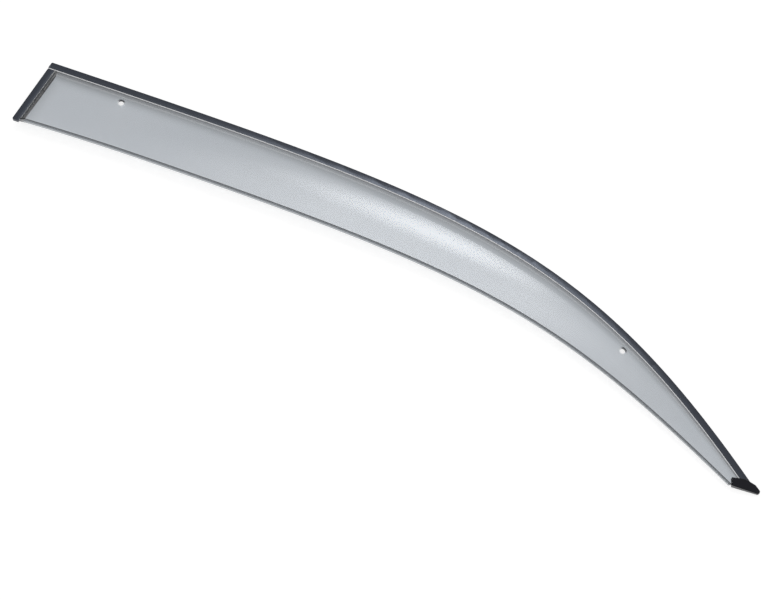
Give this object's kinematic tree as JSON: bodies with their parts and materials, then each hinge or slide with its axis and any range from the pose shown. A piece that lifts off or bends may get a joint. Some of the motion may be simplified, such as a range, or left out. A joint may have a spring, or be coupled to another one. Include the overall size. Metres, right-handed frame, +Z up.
{
  "type": "window rain deflector",
  "caption": "Long curved smoke-tinted side-window visor with black edge trim, a stepped flange with mounting tape, an inward lower lip, a closed rear end and a capped front tip.",
  "frame": {"origin": "under the middle of the part's box, on the surface it lies on", "axes": "+X forward along the door, from the wide rear end to the pointed tip; +Y towards the upper flange; +Z up, out of the blade's outer face"},
  "size_m": [1.0458, 0.2412, 0.0233],
  "materials": {
    "smoked_acrylic": "clear, smoke-tinted, polished",
    "black_trim": "semi-gloss black",
    "black_cap": "satin black, fine moulded grain",
    "foam_tape": "dark acrylic foam"
  },
  "bodies": {
    "root": {"visor_blade": "smoked_acrylic", "upper_trim": "black_trim", "rear_trim": "black_trim", "front_tip_cap": "black_cap", "upper_tape": "foam_tape", "rear_tape": "foam_tape"}
  },
  "joints": []
}
